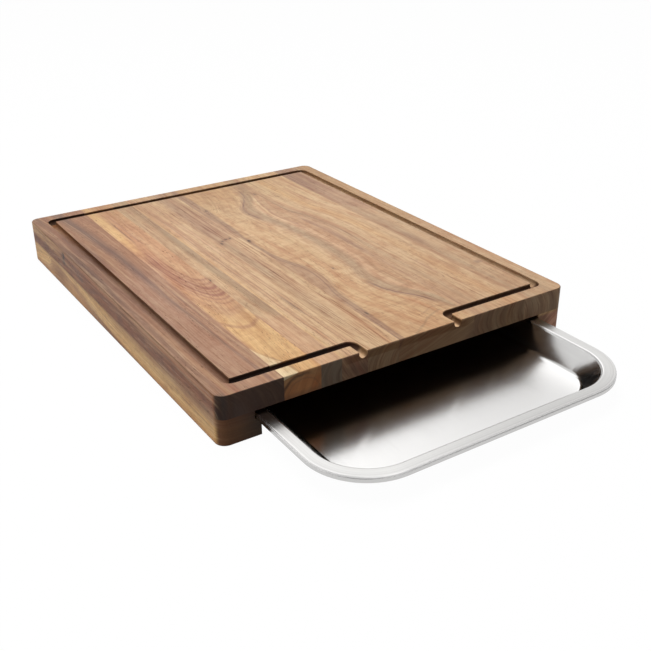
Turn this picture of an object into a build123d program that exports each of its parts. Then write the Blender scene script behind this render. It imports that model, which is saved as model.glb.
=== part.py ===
"""Cutting board with tray: a glued slab with a juice groove, on rails that carry a pressed steel tray.

Lengths are in millimetres and angles in degrees. X runs across the board, Y along it with the tray
coming out towards -Y, and Z up. The origin lies on the surface that the board stands on, at the
middle of the space that board and tray take up together while the tray is partly out.
"""

import os
from math import cos, radians

from build123d import *

os.makedirs("parts", exist_ok=True)

# Board
board_width = 310
board_length = 390
slab_thickness = 18
corner_radius = 8
edge_easing = 1

# Strips of the slab: their edges, from left to right, as shares of the board's width
stave_edge_shares = (0, 0.160, 0.255, 0.310, 0.381, 0.469, 0.695, 0.861, 1)

# Juice groove, with a round bottom below straight walls
groove_width = 7
groove_wall_height = 1.5
groove_inset = 12
groove_turn_radius = 4.5
left_channel_offset = 41
right_channel_offset = 44.5

# Rails
rail_height = 20.5
rail_width = 31.5
rear_rail_depth = 31.5
rebate_depth = 4.8
rebate_height = 6.5

# Tray: its bend radii are those on the inner side of each bend
sheet_thickness = 0.8
flange_width = 8.7
lip_height = 4.1
rim_corner_radius = 46
mouth_corner_radius = 39
rim_bend_radius = 0.4
mouth_bend_radius = 1
floor_bend_radius = 5
wall_draft = 38

# Clearances, and the rest position of the tray
side_clearance = 0.5
ledge_clearance = 0.3
stop_clearance = 1
ground_clearance = 1
pull_out = 106

# Cutting shapes run past the faces that they open by this much
overrun = 1

# Places along the board
board_front_y = (pull_out - board_length) / 2
board_middle_y = board_front_y + board_length / 2
board_back_y = board_front_y + board_length
rebate_length = board_length - rear_rail_depth

# Groove
groove_radius = groove_width / 2
groove_bottom_axis_z = rail_height + slab_thickness - groove_wall_height
groove_half_span = board_width / 2 - groove_inset - groove_radius
groove_front_y = board_front_y + groove_inset + groove_radius
groove_back_y = board_back_y - groove_inset - groove_radius
channel_end_y = board_front_y - groove_radius
groove_corners = (
    (-left_channel_offset, channel_end_y),
    (-left_channel_offset, groove_front_y),
    (-groove_half_span, groove_front_y),
    (-groove_half_span, groove_back_y),
    (groove_half_span, groove_back_y),
    (groove_half_span, groove_front_y),
    (right_channel_offset, groove_front_y),
    (right_channel_offset, channel_end_y),
)

# Slab, before it is divided into its strips
with BuildPart() as slab:
    with BuildSketch(Plane.XY.offset(rail_height)):
        with Locations((0, board_middle_y)):
            RectangleRounded(board_width, board_length, corner_radius)
    extrude(amount=slab_thickness)
    fillet(slab.faces().sort_by(Axis.Z)[-1].edges(), edge_easing)
    # Groove, cut along its path by a round-nosed tool
    with BuildLine(Plane.XY.offset(groove_bottom_axis_z)) as groove_path:
        FilletPolyline(*groove_corners, radius=groove_turn_radius)
    path_start = Plane(groove_path.line @ 0, x_dir=Axis.X.direction, z_dir=groove_path.line % 0)
    with BuildSketch(path_start):
        Circle(groove_radius)
        Rectangle(groove_width, groove_wall_height + overrun, align=(Align.CENTER, Align.MAX))
    sweep(path=groove_path.line, mode=Mode.SUBTRACT)

# Strips of the slab
stave_edges = [board_width * share - board_width / 2 for share in stave_edge_shares]
for number, (left_x, right_x) in enumerate(zip(stave_edges, stave_edges[1:]), start=1):
    with BuildPart() as stave:
        add(slab.part)
        with BuildSketch(Plane.XY.offset(rail_height)):
            with Locations(((left_x + right_x) / 2, board_middle_y)):
                Rectangle(right_x - left_x, board_length)
        extrude(amount=slab_thickness, mode=Mode.INTERSECT)
    stave.part.label = f"stave_{number}"
    export_step(stave.part, f"parts/stave_{number}.step")

# Left rail, with the rebate whose ledge carries the tray
with BuildPart() as left_rail:
    with BuildSketch():
        with Locations((rail_width / 2 - board_width / 2, board_middle_y)):
            Rectangle(rail_width, board_length)
    extrude(amount=rail_height)
    fillet(left_rail.edges().filter_by(Axis.Z).group_by(Axis.X)[0], corner_radius)
    fillet(left_rail.faces().sort_by(Axis.Z)[0].edges().sort_by(Axis.X)[:-1], edge_easing)
    with BuildSketch(Plane.XY.offset(rail_height)):
        with Locations((rail_width - board_width / 2, board_front_y)):
            Rectangle(rebate_depth, rebate_length, align=(Align.MAX, Align.MIN))
    extrude(amount=-rebate_height, mode=Mode.SUBTRACT)
left_rail.part.label = "left_rail"
export_step(left_rail.part, "parts/left_rail.step")

# Right rail
with BuildPart() as right_rail:
    add(left_rail.part)
    mirror(about=Plane.YZ, mode=Mode.REPLACE)
right_rail.part.label = "right_rail"
export_step(right_rail.part, "parts/right_rail.step")

# Rear rail, which stops the tray
with BuildPart() as rear_rail:
    with BuildSketch():
        with Locations((0, board_back_y)):
            Rectangle(
                board_width - rail_width * 2,
                rear_rail_depth,
                align=(Align.CENTER, Align.MAX),
            )
    extrude(amount=rail_height)
    back_edge = rear_rail.edges().filter_by(Axis.X).group_by(Axis.Z)[0].sort_by(Axis.Y)[-1]
    fillet(back_edge, edge_easing)
rear_rail.part.label = "rear_rail"
export_step(rear_rail.part, "parts/rear_rail.step")

# Tray: the place and size of its rim and of the mouth of its bowl
rim_width = board_width - (rail_width - rebate_depth + side_clearance) * 2
rim_length = rebate_length - stop_clearance
rim_middle_y = board_front_y - pull_out + rim_length / 2
lip_bottom_z = rail_height - rebate_height + ledge_clearance
rim_top_z = lip_bottom_z + lip_height
mouth_width = rim_width - flange_width * 2
mouth_length = rim_length - flange_width * 2
bowl_depth = rim_top_z - sheet_thickness - ground_clearance
# Level width of the sloping wall for each unit of its thickness
slope_share = 1 / cos(radians(wall_draft))


def bowl(growth):
    """Solid bowl with its sloping wall and rounded floor edge, grown by a sheet's thickness."""
    with BuildPart() as body:
        with BuildSketch(Plane.XY.offset(rim_top_z)):
            with Locations((0, rim_middle_y)):
                RectangleRounded(
                    mouth_width + growth * slope_share * 2,
                    mouth_length + growth * slope_share * 2,
                    mouth_corner_radius + growth * slope_share,
                )
        extrude(amount=-(bowl_depth + growth), taper=wall_draft)
        fillet(body.faces().sort_by(Axis.Z)[0].edges(), floor_bend_radius + growth)
    return body.part


def rim(shrink):
    """Solid rim with its rounded top edge, shrunk by a sheet's thickness at its top and sides."""
    with BuildPart() as body:
        with BuildSketch(Plane.XY.offset(lip_bottom_z)):
            with Locations((0, rim_middle_y)):
                RectangleRounded(
                    rim_width - shrink * 2,
                    rim_length - shrink * 2,
                    rim_corner_radius - shrink,
                )
        extrude(amount=lip_height - shrink)
        top_edges = body.faces().sort_by(Axis.Z)[-1].edges()
        fillet(top_edges, rim_bend_radius + sheet_thickness - shrink)
    return body.part


with BuildPart() as tray:
    add(rim(0))
    add(rim(sheet_thickness), mode=Mode.SUBTRACT)
    add(bowl(sheet_thickness))
    add(bowl(0), mode=Mode.SUBTRACT)
    # Bends at the mouth of the bowl, first under the flange and then on top of it
    for place, bend_radius in ((-2, mouth_bend_radius), (-1, mouth_bend_radius + sheet_thickness)):
        flange_face = tray.faces().filter_by(Axis.Z).sort_by(Axis.Z)[place]
        fillet(flange_face.inner_wires()[0].edges(), bend_radius)
tray.part.label = "tray"
export_step(tray.part, "parts/tray.step")
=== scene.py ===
"""Looks for the cutting board with its tray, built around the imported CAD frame."""

from math import radians

import bpy
from mathutils import Matrix, Vector

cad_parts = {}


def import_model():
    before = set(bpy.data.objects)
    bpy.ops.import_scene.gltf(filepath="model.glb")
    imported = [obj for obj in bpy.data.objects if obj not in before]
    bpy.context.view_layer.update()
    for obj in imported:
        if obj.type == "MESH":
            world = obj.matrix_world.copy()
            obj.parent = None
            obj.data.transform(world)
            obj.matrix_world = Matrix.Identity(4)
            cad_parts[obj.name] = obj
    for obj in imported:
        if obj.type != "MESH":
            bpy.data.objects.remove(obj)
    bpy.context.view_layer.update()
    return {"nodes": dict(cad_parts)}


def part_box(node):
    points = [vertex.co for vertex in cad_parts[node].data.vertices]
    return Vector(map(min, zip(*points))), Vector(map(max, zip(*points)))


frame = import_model()

MM = 0.001

# Places that the looks refer to, in millimetres. Wood is described with y counted from the board's middle.
rail_low, rail_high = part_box("left_rail")
BOARD_MIDDLE_Y = (rail_low.y + rail_high.y) / 2 / MM
BOARD_TOP_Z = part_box("stave_1")[1].z / MM
RAIL_TOP_Z = rail_high.z / MM
TRAY_TOP_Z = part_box("tray")[1].z / MM
LEFT = rail_low.x / MM
RIGHT = -LEFT
BACK = (rail_high.y - rail_low.y) / 2 / MM
FRONT = -BACK

# Wood: how far the grain swings in its slow, middle and quick waves and how deep a sheet of growth reaches,
# in millimetres, and the finish that all pieces share
SLOW_SWING = 7
MIDDLE_SWING = 3.2
QUICK_SWING = 0.9
SHEET_DEPTH = 28
LINE_SOFTNESS = 0.9
WOOD_WARMTH = 0.5
WOOD_ROUGHNESS = 0.46
WOOD_SPECULAR = 0.2
PORE_DEPTH = 0.12
PORE_STRENGTH = 0.55

# Groove: each pair says where a part of its painted shade and tints begins and where it is full, out from
# the board's middle or down from its top. The runs are the stretches that cross the grain, and the channels
# drain them to the front.
GROOVE_SIDES = (150.5, 149)
GROOVE_ENDS = (189, 183.6)
GROOVE_RUNS = (173, 176.5)
GROOVE_WALL = (0.3, 1.6)
GROOVE_BED = (1.5, 2.6)
GROOVE_UNDER = (7, 5.6)
CHANNEL_ENDS = (182, 186)
CHANNEL_SIDES = (60, 50)

# Steel: three soft forms of the bowl are in its bump alone. The floor rises towards its right wall and leans
# towards the tray's middle, and the walls are steepest at their foot. The flange is brushed along its rim,
# and the floor draws its reflections out sideways.
RIM_RADIUS = 46
RIM_EDGE = 1.6
RIM_FULL = 0.4
FLAT_LEVELS = (0.985, 0.998)
WALL_LEVELS = (0.97, 0.8)
STEEL_ROUGHNESS = 0.15
RIM_SOFTER = 0.05
FLAT_SOFTER = 0.12
WALL_SOFTER = 0.05
FLOOR_SOFTER = 0.055
BRUSHING = 0.85
FLOOR_BRUSHING = 0.75
FLOOR_TANGENT = (1, 0, 0, 1)
FOOT_X = 105
DISH_START_X = 68
DISH_HEIGHT = 1.8
DISH_BEND = 1.75
WALL_FOOT = 24
WALL_MIDDLE = 14
WALL_BELLY = 1.0
SAG = 4.5
GRAIN_HEIGHT = 0.01

# Sockets of a colour Mix node
MIX_SHARE = 0
MIX_BELOW = 6
MIX_ABOVE = 7
MIX_RESULT = 2


def linear(red, green, blue):
    """Linear colour of an sRGB display colour given from 0 to 255."""
    shares = [level / 255 for level in (red, green, blue)]
    return (*[s / 12.92 if s <= 0.04045 else ((s + 0.055) / 1.055) ** 2.4 for s in shares], 1)


# Wood colours
CREAM = linear(238, 216, 178)
BUTTER = linear(236, 198, 148)
YELLOW = linear(224, 184, 134)
GOLDEN = linear(212, 172, 128)
HONEY = linear(203, 159, 122)
TAN = linear(198, 163, 130)
PALE_TAN = linear(211, 178, 142)
PINK_TAN = linear(209, 170, 138)
ROSE = linear(178, 134, 112)
MAUVE_TAN = linear(172, 133, 109)
MAUVE = linear(158, 122, 102)
GREY_TAN = linear(186, 157, 128)
OLIVE = linear(172, 144, 114)
BROWN = linear(140, 102, 80)
RUSSET = linear(138, 94, 64)
RED_BROWN = linear(128, 84, 62)
UMBER = linear(104, 74, 62)
PURPLE = linear(112, 82, 76)
SMOKE = linear(143, 97, 74)
SMOKE_TAN = linear(164, 114, 84)
FAWN = linear(202, 152, 118)
PINK_FAWN = linear(198, 158, 130)
SAND = linear(222, 188, 150)
PALE_SAND = linear(206, 182, 152)
# Painted light for the right rail's front end
SALMON_PAINTED_LIGHT = linear(236, 178, 154)
RUST = linear(184, 128, 92)
ROSEWOOD = linear(158, 106, 86)
DARK = linear(66, 46, 40)

# Colours of sawn ends, which soak up more oil
END_RUST = linear(208, 142, 96)
END_COPPER = linear(196, 130, 88)
END_AMBER = linear(184, 138, 98)
END_OLIVE = linear(116, 106, 96)
END_ROSE = linear(142, 102, 90)
END_UMBER = linear(98, 62, 42)
END_BLACK = linear(48, 31, 26)

# Colours that multiply the wood's colour. Most are tones of its figure and finish. The back one darkens the
# back of the top, and the channel front one the top of the front face in the middle. The underside, rounded
# edge, groove, right run and channel wall ones are painted shade. A stain multiplies the colour that it
# covers.
WARM_STAIN = linear(232, 204, 190)
GREY_STAIN = linear(222, 214, 206)
LINE_STAIN = linear(206, 178, 164)
FINE_LINE_STAIN = linear(190, 162, 148)
RIPPLE_STAIN = linear(216, 198, 186)
FEATHER_STAIN = linear(226, 204, 190)
CLOUD_STAIN = linear(230, 208, 198)
FIBRE_STAIN = linear(204, 182, 170)
PORE_STAIN = linear(120, 90, 76)
RING_STAIN = linear(150, 122, 108)
BACK_DARKENING = linear(241, 238, 226)
# Painted shade for the underside and for the rounded outer edges
UNDERSIDE_PAINTED_SHADE = linear(142, 132, 126)
ROUNDED_EDGE_PAINTED_SHADE = linear(194, 190, 192)
OIL_STAIN = linear(252, 254, 249)
# Painted shade in the groove and on its channels' walls; the channel front colour darkens the front face
# round the channels
GROOVE_PAINTED_SHADE = linear(134, 120, 114)
RIGHT_RUN_PAINTED_SHADE = linear(196, 186, 180)
CHANNEL_FRONT_STAIN = linear(214, 200, 184)
CHANNEL_WALL_PAINTED_SHADE = linear(190, 180, 166)
RIGHT_CHANNEL_PAINTED_SHADE = linear(172, 158, 148)

# Steel colours
STEEL_LIGHT = linear(213, 212, 211)
STEEL = linear(199, 198, 197)
STEEL_DARK = linear(162, 161, 160)
BRUSHED = linear(248, 248, 247)

WHITE = (1, 1, 1, 1)


class Field:
    """A number that varies over a surface, with arithmetic."""

    def __init__(self, graph, socket):
        self.graph = graph
        self.socket = socket

    def __add__(self, other):
        return self.graph.math("ADD", self, other)

    __radd__ = __add__

    def __sub__(self, other):
        return self.graph.math("SUBTRACT", self, other)

    def __rsub__(self, other):
        return self.graph.math("SUBTRACT", other, self)

    def __mul__(self, other):
        return self.graph.math("MULTIPLY", self, other)

    def __truediv__(self, other):
        return self.graph.math("DIVIDE", self, other)

    def root(self):
        return self.graph.math("SQRT", self)

    def size(self):
        return self.graph.math("ABSOLUTE", self)


class Graph:
    """The nodes of one material or world."""

    def __init__(self, owner):
        owner.use_nodes = True
        self.tree = owner.node_tree
        self.tree.nodes.clear()

    def node(self, kind, **settings):
        """A new shader node of that kind, with its settings."""
        made = self.tree.nodes.new("ShaderNode" + kind)
        for setting, value in settings.items():
            setattr(made, setting, value)
        return made

    def feed(self, socket, value):
        """Links a field to the socket, or sets a plain value on it."""
        if isinstance(value, Field):
            self.tree.links.new(value.socket, socket)
        else:
            socket.default_value = value

    def show(self, kind, shader):
        """Sends the shader to the output node of that kind."""
        self.feed(self.node(f"Output{kind}").inputs[0], shader)

    def coordinates(self, kind):
        """The three numbers of one kind of texture coordinate."""
        place = self.node("TexCoord")
        parts = self.node("SeparateXYZ")
        self.tree.links.new(place.outputs[kind], parts.inputs[0])
        return [Field(self, output) for output in parts.outputs]

    def ray(self, kind):
        """1 for light rays of that kind."""
        return Field(self, self.node("LightPath").outputs[f"Is {kind} Ray"])

    def mirrored(self):
        """1 for light rays that shiny surfaces send to the camera with no matt surface between."""
        matt_turns = Field(self, self.node("LightPath").outputs["Diffuse Depth"])
        return self.ray("Glossy") * (1 - self.math("MINIMUM", matt_turns, 1))

    def glow(self, strength):
        """White light of that strength."""
        made = self.node("Emission")
        self.feed(made.inputs["Strength"], strength)
        return Field(self, made.outputs[0])

    def math(self, operation, *values):
        """The result of one Math node."""
        made = self.node("Math", operation=operation)
        for socket, value in zip(made.inputs, values):
            self.feed(socket, value)
        return Field(self, made.outputs[0])

    def vector(self, x, y, z):
        """Three numbers as one place or direction."""
        made = self.node("CombineXYZ")
        for socket, value in zip(made.inputs, (x, y, z)):
            self.feed(socket, value)
        return Field(self, made.outputs[0])

    def span(self, value, low, high, smooth=True):
        """0 below low and 1 above high. The limits may be in falling order."""
        made = self.node("MapRange", interpolation_type="SMOOTHSTEP" if smooth else "LINEAR")
        flip = low > high
        self.feed(made.inputs["Value"], value)
        made.inputs["From Min"].default_value = min(low, high)
        made.inputs["From Max"].default_value = max(low, high)
        made.inputs["To Min"].default_value = 1 if flip else 0
        made.inputs["To Max"].default_value = 0 if flip else 1
        return Field(self, made.outputs[0])

    def band(self, value, middle, width, soft):
        """1 in a band of that width round the middle, falling to 0 over its soft share."""
        return self.span((value - middle).size(), width / 2 * (1 + soft), width / 2 * (1 - soft))

    def curve(self, value, points):
        """The height, at value, of a smooth curve through the points {place: height}."""
        places = sorted(points)
        heights = [points[p] for p in places]
        low, high = min(heights), max(heights)
        reach = (high - low) or 1
        length = places[-1] - places[0]
        made = self.node("FloatCurve")
        line = made.mapping.curves[0]
        while len(line.points) < len(places):
            line.points.new(0.5, 0.5)
        for point, place in zip(line.points, places):
            point.location = ((place - places[0]) / length, (points[place] - low) / reach)
        made.mapping.update()
        self.feed(made.inputs["Value"], (value - places[0]) / length)
        return Field(self, made.outputs[0]) * reach + low

    def ramp(self, value, stops):
        """The colour, at value, between the stops {place: colour}."""
        places = sorted(stops)
        made = self.node("ValToRGB")
        elements = made.color_ramp.elements
        length = places[-1] - places[0]
        for element, place in zip(elements, (places[0], places[-1])):
            element.color = stops[place]
        for place in places[1:-1]:
            elements.new((place - places[0]) / length).color = stops[place]
        self.feed(made.inputs[0], (value - places[0]) / length)
        return Field(self, made.outputs[0])

    def mix(self, share, below, above, blend="MIX"):
        """Colour below, covered by colour above to that share."""
        made = self.node("Mix", data_type="RGBA", blend_type=blend)
        self.feed(made.inputs[MIX_SHARE], share)
        self.feed(made.inputs[MIX_BELOW], below)
        self.feed(made.inputs[MIX_ABOVE], above)
        return Field(self, made.outputs[MIX_RESULT])


class Surface(Graph):
    """One material, with its places in millimetres."""

    def __init__(self, name):
        self.material = bpy.data.materials.new(name)
        super().__init__(self.material)
        x, y, z = self.coordinates("Object")
        self.x = x / MM
        self.y = y / MM - BOARD_MIDDLE_Y
        self.z = z / MM

    def noise(self, across, along, seed=0, detail=2.0, x=None, roughness=0.5, distortion=0.0, down=None):
        """Noise from 0 to 1 whose grains are about so many millimetres across, along and down the wood."""
        made = self.node("TexNoise")
        side = (self.x if x is None else x) / across + seed
        place = self.vector(side, self.y / along + seed, self.z / (down or across))
        self.feed(made.inputs["Vector"], place)
        for name, value in (
            ("Scale", 1.0),
            ("Detail", detail),
            ("Roughness", roughness),
            ("Distortion", distortion),
        ):
            made.inputs[name].default_value = value
        return Field(self, made.outputs["Fac"])

    def patch(self, x, y, half_width, half_length, soft, ragged=0.0, seed=0):
        """Smooth oval spot centred at x, y."""
        wide = (self.x - x) / half_width
        long = (self.y - y) / half_length
        reach = (wide * wide + long * long).root()
        if ragged:
            reach = reach + (self.noise(half_width * 0.8, half_length * 0.8, seed + 31) - 0.5) * ragged
        return self.span(reach, 1, 1 - soft)

    def bump(self, height, depth, strength=1.0):
        """Shading of a height, where 1 stands for that depth in millimetres."""
        made = self.node("Bump")
        made.inputs["Strength"].default_value = strength
        made.inputs["Distance"].default_value = depth * MM
        self.feed(made.inputs["Height"], height)
        return Field(self, made.outputs[0])

    def finished(self, **inputs):
        """The material, whose shader takes these inputs by their names."""
        shader = self.node("BsdfPrincipled")
        for name, value in inputs.items():
            self.feed(shader.inputs[name.replace("_", " ")], value)
        self.show("Material", Field(self, shader.outputs[0]))
        return self.material


class Wood(Surface):
    """One piece of oiled wood whose grain runs along y. Colours and figure follow the grain place."""

    def __init__(self, name, seed, slant=0.0, cup=0.0, top_z=BOARD_TOP_Z, sway=1.0):
        super().__init__(name)
        self.seed = seed
        self.depth = top_z - self.z
        slow = self.noise(40, 190, seed) - 0.5
        middle = self.noise(14, 75, seed + 3) - 0.5
        quick = self.noise(4, 26, seed + 5) - 0.5
        self.drift = slow * SLOW_SWING * sway + middle * MIDDLE_SWING * sway + quick * QUICK_SWING
        self.drift = self.drift + self.depth * slant + self.depth * self.depth * cup
        self.across = self.x + self.drift
        self.colour = None

    def tint(self, share, colour):
        """Covers the colour with another one, to that share."""
        self.colour = self.mix(share, self.colour, colour)

    def stain(self, share, colour):
        """Darkens the colour by multiplying, as a transparent stain would; it serves for the wood's own
        tones and for painted shade.
        """
        self.colour = self.mix(share, self.colour, colour, blend="MULTIPLY")

    def line(self, place, middle, width, colour, strength, within=None):
        """A line of growth along the grain."""
        share = self.band(place, middle, width, LINE_SOFTNESS) * strength
        if within is not None:
            share = share * within
        self.tint(share, colour)

    def stretch(self, start, end, soft=12):
        """1 between two places along the board, with soft ends."""
        return self.span(self.y, start - soft, start + soft) * self.span(self.y, end + soft, end - soft)

    def streaks(self, place, width, length, seed, low=0.5, high=0.7, detail=2.0):
        """Sheets of growth, seen as streaks along the grain: 0 to 1."""
        sheets = self.noise(width, length, self.seed + seed, detail, place, down=SHEET_DEPTH)
        return self.span(sheets, low, high)

    def knot(self, x, y, half_width, half_length, strength=0.9, seed=0):
        """A small dark knot with a brown ring round it."""
        self.tint(self.patch(x, y, half_width * 3, half_length * 3, 0.9, 0.5, seed) * 0.4, BROWN)
        self.tint(self.patch(x, y, half_width, half_length, 0.7, 0.6, seed + 5) * strength, DARK)

    def side_knot(self, side, y):
        """A thin crooked upright line on the slab's outer side, with dark wood behind it."""
        crooked = self.y - y + (self.noise(60, 60, 3.3, down=5) - 0.5) * 9
        tall = self.span(self.z, 24, 28) * self.span(self.z, BOARD_TOP_Z, 36)
        here = side * tall
        self.tint(here * self.span(crooked, -9, -2) * self.span(crooked, 13, 1) * 0.4, PURPLE)
        self.tint(here * self.band(crooked, 5, 1.6, 0.9) * 0.5, UMBER)
        self.tint(here * self.band(crooked, 0, 4.4, 0.6), DARK)

    def side_feather(self, side, y, z):
        """Short slanting dark strokes beside the knot."""
        here = side * (self.patch(0, y, 400, 30, 0.7) * self.band(self.z - (self.y - y) * 0.06, z, 9, 0.9))
        slope = self.y - (self.z - z) * 0.9 + (self.noise(40, 16, 6.1, 3.0, down=5) - 0.5) * 16
        strokes = self.span(self.math("SINE", slope * 0.95), 0.1, 0.9)
        broken = self.span(self.noise(40, 7, 2.9, down=4), 0.38, 0.55)
        self.tint(here * 0.35, PURPLE)
        self.tint(here * strokes * broken * 0.6, DARK)

    def end_grain(self, start=0.3, full=0.8):
        """1 where the surface cuts across the grain, at the front and the back."""
        return self.span(self.coordinates("Normal")[1].size(), start, full)

    def pale_end_top(self, share):
        """Pales the end grain near the top."""
        self.tint(self.end_grain() * self.span(self.z, 30, 35) * share, PALE_TAN)

    def finish(self, lines, figure, place=None, groove=True, end_rings=0.45):
        """Growth lines, fibres, pores and figure over the colour, and the shader."""
        place = self.across if place is None else place
        ends = self.end_grain()
        sides = 1 - ends
        pale = sides + ends * end_rings
        self.stain(self.streaks(place, 7, 260, 11) * WOOD_WARMTH, WARM_STAIN)
        self.stain(self.streaks(place, 5, 180, 41) * 0.45, GREY_STAIN)
        self.tint(self.streaks(place, 3.4, 120, 43, 0.52, 0.72) * pale * 0.3, PALE_TAN)
        self.stain(self.streaks(place, 2.2, 90, 47, 0.52, 0.7, 3.0) * lines * 0.8, LINE_STAIN)
        fine = self.noise(1.1, 60, self.seed + 13, 3.0, place, 0.65, down=20)
        self.stain(self.span(fine, 0.52, 0.68) * pale * lines, FINE_LINE_STAIN)
        self.tint(self.span(fine, 0.46, 0.3) * pale * 0.14, CREAM)
        ripple = self.noise(20, 5.5, self.seed + 19, 2.0, place, distortion=0.8)
        self.stain(self.span(ripple, 0.4, 0.72) * figure * sides * 0.5, RIPPLE_STAIN)
        feather = self.noise(5, 16, self.seed + 61, 3.0, self.across, 0.55, distortion=0.5)
        self.stain(self.span(feather, 0.42, 0.7) * (0.3 + figure * 0.4) * sides, FEATHER_STAIN)
        # A darker back of the top, and painted shade on the underside and rounded edges
        self.darken_back_and_shade_outside()
        cloud = self.noise(26, 46, self.seed + 29)
        self.stain(self.span(cloud, 0.4, 0.7) * 0.3, CLOUD_STAIN)
        fibre = self.noise(0.45, 14, self.seed + 17, 2.0, place, 0.6)
        self.stain(self.span(fibre, 0.4, 0.72) * sides * 0.4, FIBRE_STAIN)
        crowd = self.streaks(place, 6, 60, 53, 0.35, 0.65)
        speck = self.span(self.noise(0.45, 5.5, self.seed + 23, 1.0, place), 0.64, 0.72)
        pore = speck * crowd * (0.3 + sides * 0.7)
        self.stain(pore * 0.7, PORE_STAIN)
        rings = self.streaks(place, 2.6, 900, 37, 0.42, 0.62, 3.0)
        self.stain(ends * rings * end_rings, RING_STAIN)
        self.tint(ends * self.streaks(place, 3.8, 900, 38, 0.55, 0.7, 3.0) * end_rings * 0.3, PALE_TAN)
        self.stain(1, OIL_STAIN)
        # Painted shade in the groove and its channels
        if groove:
            self.paint_groove_shade()
        height = fibre * 0.5 + fine * 0.3 - pore
        roughness = WOOD_ROUGHNESS + (fine - 0.5) * 0.16 + pore * 0.2 + ends * 0.12
        return self.finished(
            Base_Color=self.colour,
            Roughness=roughness,
            Specular_IOR_Level=WOOD_SPECULAR,
            Normal=self.bump(height, PORE_DEPTH, PORE_STRENGTH),
        )

    def darken_back_and_shade_outside(self):
        """Darkens the back of the top a little, paints much shade on the underside, as under the slab, and
        paints shade on the rounded outer edges.
        """
        level = self.coordinates("Normal")[2]
        self.stain(self.span(self.y, 40, 190) * self.span(level, 0.5, 0.9), BACK_DARKENING)
        # Painted shade on the underside, as in the shadow under the slab
        self.stain(self.span(level, -0.5, -0.9), UNDERSIDE_PAINTED_SHADE)
        # Painted shade on the rounded outer edges, against the highlight that the lamps give them
        at_sides = self.span(self.x.size(), RIGHT - 5, RIGHT - 2.5)
        at_ends = self.span(self.y.size(), BACK - 4, BACK - 1)
        outer = self.math("MAXIMUM", at_sides, at_ends)
        self.stain(outer * self.span(level, 0.1, 0.4) * self.span(level, 0.98, 0.85), ROUNDED_EDGE_PAINTED_SHADE)

    def paint_groove_shade(self):
        """Paints shade into the routed groove, most in the runs across the grain, and onto the walls of its
        channels; also pales the channel beds and darkens the top of the front face round them.
        """
        cut = self.span(self.depth, *GROOVE_WALL) * self.span(self.depth, *GROOVE_UNDER)
        inside = self.span(self.x.size(), *GROOVE_SIDES) * self.span(self.y.size(), *GROOVE_ENDS)
        here = cut * inside
        bed = self.span(self.depth, *GROOVE_BED)
        runs = self.span(self.y.size(), *GROOVE_RUNS)
        front_run = here * self.span(self.y * -1, *GROOVE_RUNS)
        left = self.span(self.x, 0, -100) * self.span(self.y, 130, -60) * 0.45
        corner = self.span(self.x, -134, -139) * 0.4
        lit_bed = self.span(self.y, 0, 100) * bed * (corner + 0.6)
        pale_strip = self.span(self.x, -111, -107) * self.span(self.x, 0, -60)
        # Painted shade: near-black in the runs between x -107 and -60, less where the bed is lit at the back
        self.tint(here * runs * (1 - lit_bed) * pale_strip * 0.8, DARK)
        # Painted shade on the bed of the front run's right part
        self.stain(front_run * self.span(self.x, 40, 80) * bed * 0.6, RIGHT_RUN_PAINTED_SHADE)
        # Painted shade over the whole groove, most in the runs and towards the left front
        self.stain(here * self.math("MAXIMUM", runs * (1 - lit_bed), left + 0.08), GROOVE_PAINTED_SHADE)
        front = self.end_grain()
        channel = self.span(self.y * -1, *CHANNEL_ENDS) * self.span(self.x.size(), *CHANNEL_SIDES)
        channel = cut * (1 - inside) * channel
        facing_left = channel * self.span(self.coordinates("Normal")[0], -0.2, -0.8)
        # Pales the channel beds and darkens the top of the front face round the channels
        self.tint(channel * (1 - front) * 0.5, PALE_TAN)
        self.stain(channel * front, CHANNEL_FRONT_STAIN)
        # Painted shadow on the channel walls that face left, deeper in the right channel
        self.stain(facing_left, CHANNEL_WALL_PAINTED_SHADE)
        self.stain(facing_left * self.span(self.x, 0, 20), RIGHT_CHANNEL_PAINTED_SHADE)


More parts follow.
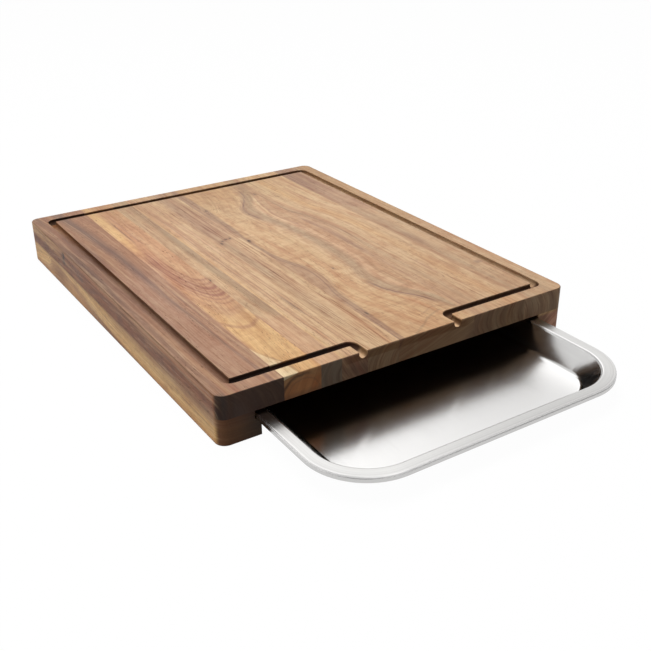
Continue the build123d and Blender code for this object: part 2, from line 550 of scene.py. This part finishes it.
def stave_1():
    """Mauve brown with one wandering dark streak, banded and knotted on its outer side."""
    w = Wood("wood_dark_brown", 1.3, slant=-0.9, cup=0.02)
    streak = w.curve(w.y, {
        FRONT: -114.5,
        -150: -116,
        -80: -117,
        0: -119,
        100: -121.5,
        165: -126,
        BACK: -129,
    })
    place = w.across - streak
    ahead = w.span(w.y, 40, -40)
    w.colour = w.ramp(place, {-34: MAUVE, -27: MAUVE_TAN, -21: MAUVE, -14: MAUVE_TAN})
    w.tint(w.span(w.y, -20, 120) * w.span(place, 2, 8) * 0.6, ROSE)
    w.tint(w.band(place, 0, 9, 0.8) * w.span(w.y, -150, 60) * 0.7, PURPLE)
    w.line(place, 0.5, 2.4, PURPLE, 0.5)
    w.line(place, 7.5, 1.4, PURPLE, 0.3, within=ahead)
    w.tint(w.patch(-137, 75, 8, 70, 0.9, 0.4, 2) * 0.55, PURPLE)
    w.tint(w.patch(-151, 40, 6, 90, 0.9, 0.4, 2) * 0.5, UMBER)
    w.line(w.across, -108, 1.6, TAN, 0.5, within=ahead)
    w.line(w.across, -111.5, 1.0, TAN, 0.4, within=ahead)
    w.tint(w.band(w.x, -145.5, 3.6, 0.7) * 0.45, RUST)
    # Painted shade: a soft shadow on the rim beside the left groove, fading out towards the back
    w.stain(w.band(w.x, -144.6, 4, 0.6) * w.span(w.y, 150, 120), linear(226, 224, 222))
    w.stain(w.span(w.y, -20, 60), linear(228, 212, 190))
    w.stain(w.span(w.x, -141, -146) * w.stretch(-40, 110, 30), linear(228, 224, 222))
    w.stain(w.span(w.x, -140, -146) * w.span(w.y, -190, -60) * 0.8, linear(234, 226, 218))
    paint_outer_side(w)
    w.stain(w.span(w.x, -141, -146) * 0.6, linear(238, 236, 232))
    w.stain(w.end_grain(0.1, 0.5), linear(120, 120, 128))
    w.stain(w.span(w.x, -147, -151) * w.span(w.y, -188, -193), linear(196, 204, 214))
    return w.finish(0.36, 0.3, place, end_rings=0.12)


def paint_outer_side(w):
    """The slab's left side: fawn bands over smoky ones, with a knot and a feather of short strokes."""
    side = w.span(w.coordinates("Normal")[0], -0.35, -0.8) * w.span(w.x, LEFT + 5, LEFT + 3)
    layer = w.z + w.drift * 0.8 - w.y * 0.008
    bands = w.ramp(layer, {27: SMOKE_TAN, 29: SMOKE, 33: FAWN, 38: PINK_FAWN})
    w.tint(side, w.mix(w.span(w.y, 90, 140) * w.span(w.z, 27, 31), bands, SAND))
    w.tint(side * w.patch(0, -30, 400, 26, 0.9) * w.span(w.z, 28, 33) * 0.6, TAN)
    w.tint(side * w.span(w.noise(6, 70, 9.1, 3.0, layer * 2, down=9), 0.48, 0.66) * 0.4, PURPLE)
    smoke = w.noise(9, 16, 5.2, 3.0, roughness=0.6, down=5)
    w.tint(side * w.span(smoke, 0.46, 0.64) * w.span(w.z, 33.5, 29) * 0.5, PURPLE)
    w.tint(side * w.patch(0, 150, 400, 60, 0.9) * w.band(w.z, 26, 7, 0.9) * 0.55, PURPLE)
    w.stain(side, linear(232, 216, 198))
    w.side_knot(side, 101)
    w.side_feather(side, 70, 31.5)


def stave_2():
    """Golden, with nested rose rings that open to the back and a cream edge at the front."""
    w = Wood("wood_golden", 4.1, slant=0.5, sway=0.25)
    heart = w.curve(w.y, {FRONT: -90, -116: -89, -85: -85, -60: -81, -30: -80, BACK: -80})
    side = w.across - heart
    ahead = w.math("MAXIMUM", 27 - w.y, 0) / 3.95
    place = (side * side + ahead * ahead).root() + (w.noise(16, 44, 6.2) - 0.5) * 2.4
    w.colour = w.ramp(place, {26: HONEY, 33: GOLDEN, 38: YELLOW})
    w.tint(w.span(place, 10, 15) * w.span(place, 25, 21) * w.stretch(-60, 40, 25) * 0.35, ROSE)
    for ring, width, strength in (
        (12.6, 1.1, 0.6),
        (14.9, 0.9, 0.45),
        (17.2, 1.6, 0.95),
        (19.2, 0.9, 0.6),
        (21.0, 1.5, 0.9),
        (23.3, 1.0, 0.6),
        (25.4, 0.9, 0.4),
        (28.8, 1.8, 0.35),
        (30.4, 1.2, 0.25),
    ):
        w.line(place, ring, width, ROSEWOOD, strength, within=w.span(w.y, 75, 35))
    w.line(place, 36.1, 1.3, ROSEWOOD, 0.5, within=w.span(w.y, -190, -150))
    w.tint(w.patch(-101, 130, 7, 100, 0.6, 0.3, 3), YELLOW)
    w.stain(w.span(w.y, 110, 180), linear(242, 238, 228))
    w.line(w.across, -94.5, 1.3, BROWN, 0.8, within=w.stretch(88, 142))
    w.line(w.across, -90, 1.6, ROSE, 0.6, within=w.stretch(80, 165))
    w.line(w.x, -105, 2.4, ROSE, 0.6, within=w.span(w.y, 60, 20))
    front = w.end_grain()
    wide = (w.x + 90) / 17
    high = (w.z - 23) / 13.5
    dome = (wide * wide + high * high).root() + (w.noise(6, 40, 2.7) - 0.5) * 0.2
    w.tint(front * 0.9, w.ramp(dome, {0: END_RUST, 0.6: END_COPPER, 1.3: END_AMBER}))
    w.tint(front * w.span(w.z, 26, 21) * 0.6, BROWN)
    w.line(dome, 1, 0.15, DARK, 0.75, within=front * w.span(w.x, -80, -92))
    w.pale_end_top(0.1)
    w.line(dome, 0.72, 0.08, BROWN, 0.35, within=front)
    edge = w.x - w.curve(w.y, {
        FRONT: -94,
        -178: -96,
        -170: -99,
        -158: -103,
        -149: -105,
        -130: -107,
        BACK: -107,
    })
    edge = edge + w.depth * 0.5 + front * w.depth * 4
    w.tint(w.span(edge, 0.5, -0.5), CREAM)
    w.line(edge, 1.2, 1.8, OLIVE, 0.6, within=w.stretch(FRONT, -158))
    return w.finish(0.36, 0.5, w.across * 0.75 + place * 0.25, end_rings=0.15)


def stave_3():
    """Grey tan with straight lines, greener in the middle and rose at the front."""
    w = Wood("wood_grey_brown", 7.7, slant=0.8, cup=-0.03)
    w.colour = w.ramp(w.across, {
        -78: PALE_TAN,
        -74: TAN,
        -69: PALE_TAN,
        -64: OLIVE,
        -60: GREY_TAN,
        -57: TAN,
    })
    w.tint(w.stretch(-102, -72, 8) * 0.5, OLIVE)
    w.tint(w.span(w.y, -100, -125) * 0.8, PINK_TAN)
    w.line(w.across, -75.4, 1.6, ROSE, 0.7, within=w.span(w.y, -95, -115))
    w.tint(w.span(w.y, 80, 150) * 0.45, OLIVE)
    w.stain(w.stretch(20, 90, 20), linear(238, 234, 230))
    w.knot(-76, -27, 1.5, 3.4)
    w.tint(w.end_grain() * 0.85, END_OLIVE)
    return w.finish(0.55, 0.35, end_rings=0.3)


def stave_4():
    """Pale pink tan with thin dark lines and a purple streak."""
    w = Wood("wood_pink_tan", 10.9, slant=-0.6, sway=0.5)
    w.colour = w.ramp(w.across, {
        -60: YELLOW,
        -56.5: PALE_TAN,
        -52: PINK_TAN,
        -46: PALE_TAN,
        -42: PINK_TAN,
        -38: PALE_TAN,
        -35: TAN,
    })
    w.tint(w.span(w.y, 40, -20) * 0.35, PALE_TAN)
    w.tint(w.end_grain() * 0.7, END_ROSE)
    w.stain(w.end_grain() * w.span(w.z, 33, 27), linear(226, 228, 232))
    for middle, strength in ((-52.8, 0.5), (-50, 0.35), (-43.5, 0.35), (-40.5, 0.3)):
        w.line(w.across, middle, 1.0, BROWN, strength)
    w.tint(w.patch(-44, -102, 2.6, 28, 0.9, 0.3) * 0.5, PURPLE)
    w.tint(w.span(w.y, 60, 190) * 0.5, TAN)
    return w.finish(0.5, 0.3)


def stave_5():
    """Tan with many fine dark lines and a cluster of small knots."""
    w = Wood("wood_fine_line_tan", 13.4, slant=1.1, cup=-0.03, sway=0.7)
    w.colour = w.ramp(w.across, {
        -40: PALE_TAN,
        -34: TAN,
        -28: GREY_TAN,
        -21: TAN,
        -14: PALE_TAN,
        -8: TAN,
    })
    w.tint(w.span(w.y, 30, 70) * w.span(w.across, -36, -30) * 0.5, MAUVE_TAN)
    w.tint(w.span(w.y, -30, -70) * 0.4, PALE_TAN)
    place = w.x + w.drift * 0.2
    w.line(place, -12, 2.2, CREAM, 0.65, within=w.stretch(2, 42, 4))
    w.line(place, -13, 1.6, CREAM, 0.5, within=w.stretch(110, 170, 14))
    w.line(place, -10.6, 1.2, PURPLE, 0.6, within=w.stretch(90, 190, 14))
    w.stain(w.end_grain(), linear(204, 198, 198))
    w.pale_end_top(0.1)
    w.tint(w.span(w.y, -125, -160) * (1 - w.end_grain()) * 0.5, PALE_TAN)
    for x, y, half_width, half_length in (
        (-31, 38, 1.6, 3.2),
        (-28, 43, 1.8, 1.6),
        (-23.5, 45.5, 2.4, 1.6),
        (-19, 46, 1.5, 2.4),
    ):
        w.knot(x, y, half_width, half_length, 0.75, seed=x)
    return w.finish(1.0, 0.3, end_rings=0.35)


def stave_6():
    """Wide and flat-sawn: beige inside two flowing contours, pinker outside them."""
    w = Wood("wood_flat_sawn_beige", 17.2, sway=0.6)
    ragged = (w.noise(9, 24, 4.4) - 0.5) * 3
    left = w.curve(w.y, {
        FRONT: -6,
        -147: -4,
        -115: -3,
        -85: 2,
        -62: 4.5,
        -40: 1,
        -22: -4,
        0: -7,
        31: -8,
        60: -6,
        120: -4,
        BACK: -7,
    })
    right = w.curve(w.y, {
        FRONT: 66,
        -168: 56,
        -155: 52,
        -140: 45,
        -125: 36,
        -105: 30,
        -90: 29,
        -70: 33,
        -40: 37,
        0: 37,
        40: 34,
        60: 30,
        80: 27.5,
        95: 26,
        103: 27,
        118: 34,
        128: 40,
        148: 48,
        170: 51,
        BACK: 52,
    })
    from_left = w.x - left + ragged * 0.5 + w.depth * 0.5
    from_right = w.x - right + ragged * 0.4 + w.depth * 0.7
    w.colour = w.ramp(from_right, {
        -60: TAN,
        -30: PALE_TAN,
        -4: PALE_TAN,
        0: TAN,
        3: GREY_TAN,
        8: GREY_TAN,
        14: PINK_TAN,
        22: TAN,
    })
    w.tint(w.span(from_right, -2, -14) * 0.35, GOLDEN)
    w.tint(w.patch(22, 50, 9, 26, 0.9, 0.6, 3) * 0.3, HONEY)
    w.tint(w.patch(18, -85, 12, 60, 0.9, 0.6, 4) * 0.4, HONEY)
    w.tint(w.patch(38, -148, 9, 14, 0.7, 0.5, 6) * 0.5, HONEY)
    w.tint(w.patch(10, 120, 14, 60, 0.9, 0.6, 9) * 0.25, OLIVE)
    w.stain(w.span(w.y, 110, 170), linear(240, 232, 222))
    w.stain(w.end_grain(), linear(202, 194, 194))
    w.pale_end_top(0.07)
    strong = w.stretch(72, 152, 10) + w.stretch(-158, -102, 8)
    w.tint(w.span(from_left, 1.5, -1.5) * 0.6, MAUVE)
    w.line(from_left, 0, 2.4, PURPLE, 0.4)
    w.line(from_left, -3, 1.4, PURPLE, 0.45)
    w.line(from_left, 2.6, 1.2, MAUVE, 0.5, within=w.stretch(-130, -30, 20))
    w.line(from_right, 0, 2.2, PURPLE, 0.75, within=strong)
    w.line(from_right, 0.5, 6, MAUVE, 0.4, within=strong)
    w.line(from_right, -3.4, 1.4, MAUVE, 0.3, within=strong)
    add_light_lines(w)
    add_front_arcs(w, ragged)
    for x, y, half_width, half_length, strength in (
        (-7.5, 31, 2.0, 3.6, 0.9),
        (-5, 122, 1.4, 2.6, 0.5),
        (-4.5, -147, 1.2, 4, 0.7),
        (21, -62, 1.2, 1.8, 0.8),
        (58.5, 139, 1.4, 4.6, 0.7),
    ):
        w.knot(x, y, half_width, half_length, strength)
    return w.finish(0.26, 0.8, w.across * 0.45 + from_right * 0.55 + w.depth * 2.4, end_rings=0.35)


def add_light_lines(w):
    """Two cream lines and a mauve one that bend round the right contour's knee."""
    light = w.x - w.curve(w.y, {
        FRONT: 56,
        -100: 58,
        0: 51,
        50: 47,
        68: 44,
        80: 43,
        90: 44.5,
        115: 48,
        130: 52,
        150: 55,
        BACK: 58,
    })
    light = light + w.drift * 0.2
    w.line(light, 0, 1.6, CREAM, 0.6, within=w.stretch(50, 128, 16))
    w.line(light, -5.5, 1.6, CREAM, 0.25, within=w.stretch(20, 120, 20))
    w.line(light, 2.6, 2.4, MAUVE_TAN, 0.5, within=w.stretch(30, 130, 20))


def add_front_arcs(w, ragged):
    """Two thin arcs across the strip near the front."""
    across = w.x - 44
    arc = (across * across * 0.5 + 25).root() + (w.y + 172) + ragged
    w.line(arc, 5, 2.2, OLIVE, 0.6, within=w.span(w.y, -160, -170) * w.span(w.x, 50, 44))
    w.line(arc, 12, 1.6, MAUVE, 0.35, within=w.span(w.y, -150, -158) * w.span(w.x, 24, 34))


def stave_7():
    """Light gold at the back, with mauve stripes to the left and an orange one in the middle."""
    w = Wood("wood_light_golden", 20.5, slant=0.7, cup=-0.04)
    shift = w.curve(w.y, {FRONT: 13, -60: 13, 0: 13, 30: 11, 60: 6, 90: 0, 120: -2, BACK: -2})
    place = w.across - shift
    w.colour = w.ramp(place, {
        48: TAN,
        52: MAUVE_TAN,
        57: TAN,
        62: GREY_TAN,
        66: TAN,
        70: PALE_TAN,
        78: PALE_TAN,
        84: GOLDEN,
        95: PALE_TAN,
    })
    w.tint(w.span(w.y, 60, -60) * 0.45, TAN)
    w.tint(w.patch(65.5, -20, 4, 42, 0.8, 0.4, 1) * 0.55, MAUVE)
    w.tint(w.patch(87, -35, 5, 45, 0.9, 0.4, 2) * 0.5, HONEY)
    w.tint(w.patch(88, -100, 3, 30, 0.9, 0.4, 3) * 0.5, ROSE)
    w.stain(w.end_grain(), linear(194, 190, 192))
    return w.finish(0.55, 0.4, place, end_rings=0.35)


def stave_8():
    """Mauve brown at the back and tan at the front, pale along its outer rim."""
    w = Wood("wood_mauve_brown", 23.8, slant=-0.8, cup=0.03)
    w.colour = w.ramp(w.across, {108: TAN, 118: GREY_TAN, 130: TAN, 139: GREY_TAN, 145: TAN})
    edge = w.curve(w.y, {FRONT: 160, 20: 150, 45: 138, 60: 130, 90: 122, BACK: 104})
    band = w.span(w.across - edge + 14, 0, 4) * w.span(w.across, 139, 136)
    w.tint(band * w.span(w.y, 10, 60) * 0.6, MAUVE_TAN)
    w.tint(w.patch(124, 150, 16, 70, 0.5, 0.4, 1) * 0.7, MAUVE_TAN)
    w.tint(w.patch(119, -45, 6, 26, 0.8, 0.4, 2) * 0.5, BROWN)
    w.tint(w.patch(131, -118, 6, 5, 0.9, 0.4, 3) * 0.5, PURPLE)
    w.stain(w.span(w.x, 136, 128) * w.span(w.y, 90, 150), linear(226, 218, 216))
    w.stain(w.end_grain(), linear(224, 221, 222))
    w.stain(w.span(w.x, 138, 144) * w.span(w.y, -40, 20) * 0.8, linear(240, 234, 218))
    w.tint(w.patch(146, -165, 12, 34, 0.9) * w.span(w.x, 138, 142) * 0.6, PALE_SAND)
    return w.finish(0.36, 0.45)


def left_rail():
    """Golden, with a pale band that sinks towards the front and mauve and brown figure under it."""
    w = Wood("wood_rail_tan", 31.1, top_z=RAIL_TOP_Z)
    crest = w.curve(w.y, {
        FRONT: 1,
        -80: 3,
        -20: 5,
        20: 7.5,
        60: 12,
        90: 16,
        120: 17,
        150: 9,
        BACK: 3,
    })
    place = w.z - crest + w.drift * 0.5
    w.colour = w.ramp(place, {
        -9: GOLDEN,
        -5: HONEY,
        -2.5: HONEY,
        1: BUTTER,
        6: BUTTER,
        11: YELLOW,
        18: GOLDEN,
    })
    w.tint(w.patch(LEFT, 118, 20, 32, 0.9, 0.4, 3) * w.span(w.z, 22, 16) * 0.6, RUSSET)
    w.tint(w.patch(LEFT, 6, 20, 64, 0.9, 0.4, 4) * w.span(place, 0, -3) * 0.85, RUSSET)
    w.tint(w.span(w.y, -100, -160) * w.span(w.z, 12, 17) * 0.3, BROWN)
    w.tint(w.span(w.y, 10, -20) * w.span(w.z, 12, 17) * 0.4, MAUVE_TAN)
    w.tint(w.span(w.noise(4, 60, 8.8, 3.0, place * 1.6, down=9), 0.5, 0.66) * 0.4, MAUVE_TAN)
    w.tint(w.span(w.noise(9, 14, 5.2, 3.0, roughness=0.6, down=5), 0.5, 0.66) * 0.3, MAUVE_TAN)
    w.stain(w.span(w.z, 3.5, 0.5) * 0.5, BROWN)
    w.stain(w.span(w.z, 17.6, 20.4), linear(208, 202, 196))
    w.stain(w.span(w.z, 9, 3), linear(252, 241, 222))
    w.stain(1, linear(255, 251, 236))
    dark_end = w.mix(w.span(w.x, -150, -126), END_UMBER, END_BLACK)
    w.tint(w.end_grain(0.1, 0.6) * 0.95, dark_end)
    return w.finish(0.4, 0.3, place * 1.6, groove=False, end_rings=0.1)


def right_rail():
    """Reddish brown, with a golden line under the slab and painted light paling its outer front end."""
    w = Wood("wood_rail_red_brown", 37.5, slant=1.2, top_z=RAIL_TOP_Z)
    w.colour = w.ramp(w.streaks(w.across, 6, 200, 1, 0.3), {0: RED_BROWN, 0.5: BROWN, 1: RED_BROWN})
    # Painted light: pales the rail's outer part towards the front end, where light thrown off the steel tray
    # falls
    w.tint(w.patch(146, FRONT, 12, 400, 0.9) * 0.9, SALMON_PAINTED_LIGHT)
    w.line(w.z, RAIL_TOP_Z, 3.2, GOLDEN, 1)
    return w.finish(0.4, 0.2, groove=False)


def rear_rail():
    """Middle brown. Like the slab's, its grain runs front to back."""
    w = Wood("wood_rail_brown", 41.9, slant=0.8, top_z=RAIL_TOP_Z)
    w.colour = w.ramp(w.streaks(w.across, 9, 200, 1, 0.3), {0: MAUVE_TAN, 0.5: BROWN, 1: MAUVE_TAN})
    return w.finish(0.4, 0.2, groove=False)


def steel():
    """Satin steel: brushed along the rim on the flange, softer in the bowl."""
    g = Surface("tray_steel")
    low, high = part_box("tray")
    half_width = (high.x - low.x) / 2 / MM
    half_length = (high.y - low.y) / 2 / MM
    across = g.x - (low.x + high.x) / 2 / MM
    along = g.y - ((low.y + high.y) / 2 / MM - BOARD_MIDDLE_Y)
    wide = g.math("MAXIMUM", across.size() - (half_width - RIM_RADIUS), 0)
    long = g.math("MAXIMUM", along.size() - (half_length - RIM_RADIUS), 0)
    from_rim = RIM_RADIUS - (wide * wide + long * long).root()
    outward = g.vector(g.math("SIGN", across) * wide, g.math("SIGN", along) * long, 0)

    flange = g.span(g.z, TRAY_TOP_Z - RIM_EDGE, TRAY_TOP_Z - RIM_FULL)
    level = g.coordinates("Normal")[2].size()
    flat = flange * g.span(level, *FLAT_LEVELS)
    bottom = (1 - flange) * g.span(level, *FLAT_LEVELS)

    along_rim = g.noise(0.45, 90, 2.0, 3.0, from_rim, 0.6, down=200)
    lengthwise = g.noise(0.3, 45, 2.0, 3.0, roughness=0.6)
    grain = lengthwise * (1 - flange) + along_rim * flange
    lines = g.span(g.noise(0.55, 400, 4.0, 3.0, from_rim, 0.6, down=200), 0.48, 0.68) * flange
    smudge = g.noise(45, 70, 5.0, 3.0)
    fine = g.noise(3, 9, 8.0, 3.0)
    rough = flange * RIM_SOFTER + flat * FLAT_SOFTER + g.span(level, *WALL_LEVELS) * WALL_SOFTER
    rough = rough + bottom * FLOOR_SOFTER
    roughness = STEEL_ROUGHNESS + rough + (grain - 0.5) * 0.1
    roughness = roughness + (smudge - 0.5) * 0.05 + (fine - 0.5) * 0.03

    rise = g.span(across, DISH_START_X, FOOT_X, smooth=False)
    dish = rise * rise * (rise * DISH_BEND + DISH_HEIGHT)
    up_wall = g.span(from_rim, WALL_FOOT, WALL_MIDDLE, smooth=False)
    belly = (up_wall * 2 - up_wall * up_wall) * WALL_BELLY
    from_middle = along / half_length
    sag = from_middle * from_middle * SAG
    form = (dish + belly + sag) * (1 - flange) + (grain + lines) * GRAIN_HEIGHT

    bright = g.mix(lines * 0.4, g.mix(grain, STEEL_LIGHT, STEEL), STEEL_DARK)
    return g.finished(
        Base_Color=g.mix(flange * g.span(level, 0.9, 0.99), bright, BRUSHED, blend="MULTIPLY"),
        Metallic=1.0,
        Roughness=roughness,
        Anisotropic=flat * BRUSHING + bottom * FLOOR_BRUSHING,
        Tangent=g.mix(bottom, outward, FLOOR_TANGENT),
        Normal=g.bump(form, 1),
    )


def dress(node, material):
    """Gives a CAD node its material."""
    for slot in frame["nodes"][node].material_slots:
        slot.material = material


STAVES = (stave_1, stave_2, stave_3, stave_4, stave_5, stave_6, stave_7, stave_8)
for number, make in enumerate(STAVES, start=1):
    dress(f"stave_{number}", make())
dress("left_rail", left_rail())
dress("right_rail", right_rail())
dress("rear_rail", rear_rail())
dress("tray", steel())


# Floor: white where the camera sees it, with the soft shadow of what stands on it
FLOOR_HALF = 6.0
FLOOR_GLOW = 0.98
FLOOR_MIRRORED = 0.9
FLOOR_GREY = linear(120, 120, 120)


def floor():
    """A wide square at the board's foot."""
    mesh = bpy.data.meshes.new("floor")
    corners = [(x * FLOOR_HALF, y * FLOOR_HALF, 0) for x, y in ((-1, -1), (1, -1), (1, 1), (-1, 1))]
    mesh.from_pydata(corners, [], [(0, 1, 2, 3)])
    plane = bpy.data.objects.new("floor", mesh)
    bpy.context.scene.collection.objects.link(plane)
    g = Surface("floor")
    camera = g.ray("Camera")
    matte = g.node("BsdfDiffuse")
    g.feed(matte.inputs["Color"], g.mix(camera, FLOOR_GREY, WHITE))
    both = g.node("MixShader")
    g.feed(both.inputs[0], camera * FLOOR_GLOW + g.mirrored() * FLOOR_MIRRORED)
    g.feed(both.inputs[1], Field(g, matte.outputs[0]))
    g.feed(both.inputs[2], g.glow(1))
    g.show("Material", Field(g, both.outputs[0]))
    mesh.materials.append(g.material)


floor()


# World: white to the camera, a faint fill on matt surfaces, and in reflections a bright studio. That is dim
# low in front, and dimmer far to the right, to the left and overhead. Each pair of directions says where a
# part begins and where it is full.
WORLD_FILL = 0.06
WORLD_FRONT = 0.85
WORLD_BRIGHT = 1.81
WORLD_OVERHEAD_SHARE = 0.5
WORLD_RIGHT_SHARE = 0.655
WORLD_LEFT_SHARE = 0.57
TO_BACK = (-0.2, 0.4)
TO_HIGH = (0.6, 0.9)
TO_OVERHEAD = (0.93, 0.99)
TO_RIGHT = (0.44, 0.62)
TO_LEFT = (-0.15, -0.4)


def world():
    """The light and the background all round."""
    made = bpy.data.worlds.new("studio")
    bpy.context.scene.world = made
    g = Graph(made)
    x, y, z = g.coordinates("Generated")
    lit = g.math("MAXIMUM", g.span(y, *TO_BACK), g.span(z, *TO_HIGH))
    right = 1 - g.span(x, *TO_RIGHT) * (1 - WORLD_RIGHT_SHARE)
    left = 1 - g.span(x, *TO_LEFT) * (1 - WORLD_LEFT_SHARE)
    overhead = 1 - g.span(z, *TO_OVERHEAD) * (1 - WORLD_OVERHEAD_SHARE)
    bright = lit * (right * left) * overhead * WORLD_BRIGHT
    studio = g.math("MAXIMUM", bright, overhead * WORLD_FRONT)
    mirrored = g.mirrored()
    camera = g.ray("Camera")
    unseen = (1 - mirrored) * WORLD_FILL + mirrored * studio
    g.show("World", g.glow(camera + (1 - camera) * unseen))


world()


# Lamps: each one's name, place, width, height and power
BOARD_MIDDLE = (0, BOARD_MIDDLE_Y * MM, BOARD_TOP_Z * MM)
LAMPS = (
    ("top_lamp", (-0.15, 0.3, 2.05), 1.6, 0.9, 45.5),
    ("left_lamp", (-1.6, 0.15, 0.22), 1.4, 0.36, 9.5),
    ("front_lamp", (0.2, -1.9, 0.5), 1.2, 0.4, 4.2),
)


def softbox(name, place, width, height, power):
    """A soft rectangular lamp that faces the board."""
    lamp = bpy.data.lights.new(name, "AREA")
    lamp.shape = "RECTANGLE"
    lamp.size = width
    lamp.size_y = height
    lamp.energy = power
    holder = bpy.data.objects.new(name, lamp)
    bpy.context.scene.collection.objects.link(holder)
    holder.location = place
    holder.rotation_euler = (Vector(BOARD_MIDDLE) - Vector(place)).to_track_quat("-Z", "Y").to_euler()
    holder.visible_camera = False
    holder.visible_glossy = False


for settings in LAMPS:
    softbox(*settings)


# Camera, from the photograph's straight edges. The frame is square, so the lens alone sets the view.
CAMERA_PLACE = (-0.3699, -0.6573 + BOARD_MIDDLE_Y * MM, 0.3485)
CAMERA_AZIMUTH = -32.768
CAMERA_ELEVATION = 27.049
CAMERA_ROLL = -0.437
CAMERA_LENS = 51.353

lens = bpy.data.cameras.new("camera")
lens.lens = CAMERA_LENS
camera = bpy.data.objects.new("camera", lens)
bpy.context.scene.collection.objects.link(camera)
turn = Matrix.Rotation(radians(CAMERA_AZIMUTH), 4, "Z")
tilt = Matrix.Rotation(radians(90 - CAMERA_ELEVATION), 4, "X")
roll = Matrix.Rotation(radians(CAMERA_ROLL), 4, "Z")
camera.matrix_world = Matrix.Translation(CAMERA_PLACE) @ turn @ tilt @ roll
bpy.context.scene.camera = camera
bpy.context.scene.view_settings.view_transform = "Standard"
